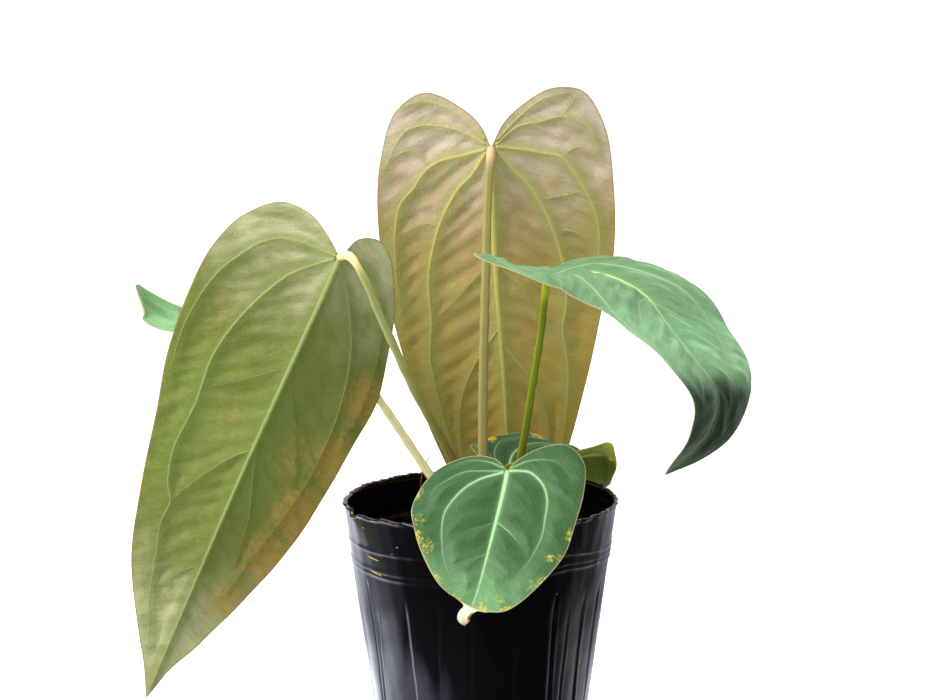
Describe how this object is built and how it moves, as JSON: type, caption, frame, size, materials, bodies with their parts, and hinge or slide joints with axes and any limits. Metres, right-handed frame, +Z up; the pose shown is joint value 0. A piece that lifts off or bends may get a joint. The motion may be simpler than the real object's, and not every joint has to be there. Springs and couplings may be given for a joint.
{
  "type": "potted anthurium hybrid",
  "caption": "House plant with heart-shaped, pale-veined leaves on long slim petioles, growing in a thin black nursery pot with a ragged rim.",
  "frame": {"origin": "middle of the pot's underside, on the surface it stands on", "axes": "+Z up the pot; -Y to the side it was pictured from; +X to the right seen from there"},
  "size_m": [0.2639, 0.1681, 0.2952],
  "materials": {
    "pot_plastic": "thin glossy black polyethylene with grey glancing edges and small scuffs",
    "mix": "coarse dark bark and coir mix, matt",
    "crown": "green-brown stem with ring scars and pale thick roots",
    "petiole": "smooth olive to straw green skin with a satin sheen",
    "leaf_under": "satin underside, olive green and pinkish tan, with raised light veins",
    "leaf_upper": "velvety blue-green upper side with pale green veins and a cream-pink margin",
    "fibre": "dry reddish fibre"
  },
  "bodies": {
    "root": {"pot": "pot_plastic", "potting_mix": "mix", "crown_and_roots": "crown", "petiole_tall_back": "petiole", "blade_tall_back": "leaf_under", "petiole_left": "petiole", "blade_left": "leaf_under", "petiole_right": "petiole", "blade_right": "leaf_upper", "petiole_front": "petiole", "blade_front": "leaf_upper", "petiole_rear_low": "petiole", "blade_rear_low": "leaf_upper", "petiole_far_left": "petiole", "blade_far_left": "leaf_upper", "dry_fibre": "fibre"}
  },
  "joints": []
}
